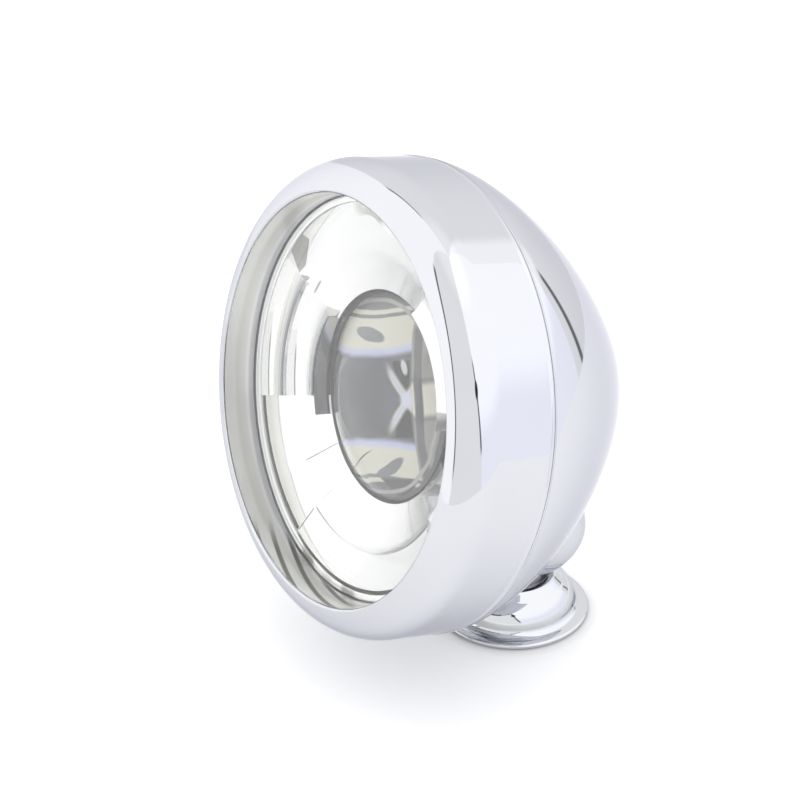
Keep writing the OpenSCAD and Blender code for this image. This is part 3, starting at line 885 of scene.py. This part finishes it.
def world():
    """A light tent: bright cloth panels, greyer walls, and the dark slits where panels meet."""
    w = bpy.data.worlds.new("studio")
    scene.world = w
    w.use_nodes = True
    nt = w.node_tree
    bg = nt.nodes["Background"]
    co = nt.nodes.new("ShaderNodeTexCoord")
    sep = nt.nodes.new("ShaderNodeSeparateXYZ")
    link(nt, co.outputs["Generated"], sep.inputs["Vector"])
    m = lambda op, a, b=None: math_node(nt, op, a, b)
    front_y = m("MULTIPLY", sep.outputs["Y"], -1.0)
    az = m("MULTIPLY", m("ARCTAN2", sep.outputs["X"], front_y), DEG_PER_RAD)
    el = m("MULTIPLY", m("ARCSINE", sep.outputs["Z"]), DEG_PER_RAD)
    # panel edges as azimuths that lean with elevation
    lean = lambda a0, e0, k: m("ADD", m("MULTIPLY", m("SUBTRACT", e0, el), k), a0)
    low = m("MINIMUM", m("SUBTRACT", el, 42.0), 0.0)
    edge_a = m("ADD", m("MULTIPLY", low, 0.645), -79.0)
    edge_b = lean(-17.0, 47.0, 0.385)
    edge_c = lean(52.0, 45.0, 0.48)
    from_a, from_b, from_c = (m("SUBTRACT", az, edge) for edge in (edge_a, edge_b, edge_c))
    # panels: b1 between edges a and b, g2 between b and c, b2 past c, and b3 round the back
    in_b1 = m("MULTIPLY", step(nt, from_a, -1.5, 1.5), m("SUBTRACT", 1.0, step(nt, from_b, -1.0, 1.0)))
    in_g2 = m("MULTIPLY", step(nt, from_b, -1.0, 1.0), m("SUBTRACT", 1.0, step(nt, from_c, -1.5, 1.5)))
    in_g2 = m("MULTIPLY", in_g2, m("SUBTRACT", 1.0, step(nt, el, 50.0, 64.0)))
    in_b2 = step(nt, from_c, -1.5, 1.5)
    in_b3 = m("MULTIPLY", m("SUBTRACT", 1.0, step(nt, az, -170.0, -162.0)), step(nt, el, 14.0, 24.0))
    val = m("ADD", m("MULTIPLY", in_b1, 0.33), m("MULTIPLY", in_g2, 0.02))
    rise = m("ADD", 0.14, m("MULTIPLY", step(nt, el, 8.0, 26.0), 0.24))
    val = m("ADD", val, m("MULTIPLY", in_b2, rise))
    val = m("ADD", val, m("MULTIPLY", in_b3, 0.27))
    top = m("MULTIPLY", step(nt, el, 60.0, 78.0), 0.16)
    val = m("ADD", m("ADD", val, 1.17), m("MULTIPLY", top, m("SUBTRACT", 1.0, in_b1)))

    def slit(dist, width, e0, e1, deep):
        """Darkens a line between two elevations, where dist in degrees is near 0."""
        nonlocal val
        near = m("SUBTRACT", 1.0, step(nt, m("ABSOLUTE", dist), width * 0.35, width))
        near = m("MULTIPLY", near, between(nt, el, e0, e1, 3.0))
        val = m("MULTIPLY", val, m("SUBTRACT", 1.0, m("MULTIPLY", near, deep)))

    slit(from_a, 2.4, 41.0, 66.0, 0.75)
    slit(from_b, 2.6, -5.0, 49.0, 0.85)
    slit(from_c, 2.6, 5.0, 42.0, 0.85)
    slit(m("SUBTRACT", az, -172.0), 2.2, -14.0, 16.0, 0.8)
    # one fixed dark disc in the main camera's direction, as the photo's chrome shows the photographer
    da = m("MULTIPLY", m("SUBTRACT", az, 58.8), 0.86)
    de = m("SUBTRACT", el, 30.9)
    far = m("SQRT", m("ADD", m("MULTIPLY", da, da), m("MULTIPLY", de, de)))
    val = m("MULTIPLY", val, m("ADD", 0.08, m("MULTIPLY", step(nt, far, 3.0, 4.6), 0.92)))
    tint = nt.nodes.new("ShaderNodeCombineXYZ")
    low_b2 = m("MULTIPLY", in_b2, m("SUBTRACT", 1.0, step(nt, el, 10.0, 34.0)))
    blue = m("ADD", 1.0, m("MULTIPLY", low_b2, 0.09))
    link(nt, val, tint.inputs[0])
    link(nt, val, tint.inputs[1])
    link(nt, m("MULTIPLY", val, blue), tint.inputs[2])
    link(nt, tint.outputs["Vector"], bg.inputs["Color"])
    bg.inputs["Strength"].default_value = 1.0


world()
fm = bpy.data.meshes.new("floor")
TABLE_R, TABLE_SIDES = 0.42, 96
rim_pts = [(TABLE_R * math.cos(t), TABLE_R * math.sin(t), 0)
           for t in np.linspace(0, 2 * math.pi, TABLE_SIDES + 1)[:-1]]
fm.from_pydata(rim_pts, [], [tuple(range(TABLE_SIDES))])
floor = bpy.data.objects.new("floor", fm)
scene.collection.objects.link(floor)
# plain paper with a painted contact shadow, darker close round the foot
mat, nt, bsdf = nodes_of("floor_paper_and_shadow")
co = nt.nodes.new("ShaderNodeTexCoord")
far = nt.nodes.new("ShaderNodeVectorMath")
far.operation = "LENGTH"
link(nt, co.outputs["Object"], far.inputs[0])
paper_and_shadow = ramp(nt, math_node(nt, "MULTIPLY", far.outputs["Value"], 20.0),
             [(0.38, (0.58, 0.58, 0.58)), (0.405, (0.80, 0.80, 0.80)), (0.45, (0.92, 0.92, 0.92)),
              (0.55, (0.96, 0.96, 0.965))])
link(nt, paper_and_shadow.outputs["Color"], bsdf.inputs["Base Color"])
bsdf.inputs["Roughness"].default_value = 0.9
bsdf.inputs["Emission Color"].default_value = (1, 1, 1.01, 1)
bsdf.inputs["Emission Strength"].default_value = 0.05
bsdf.inputs["Specular IOR Level"].default_value = 0.1
fm.materials.append(mat)
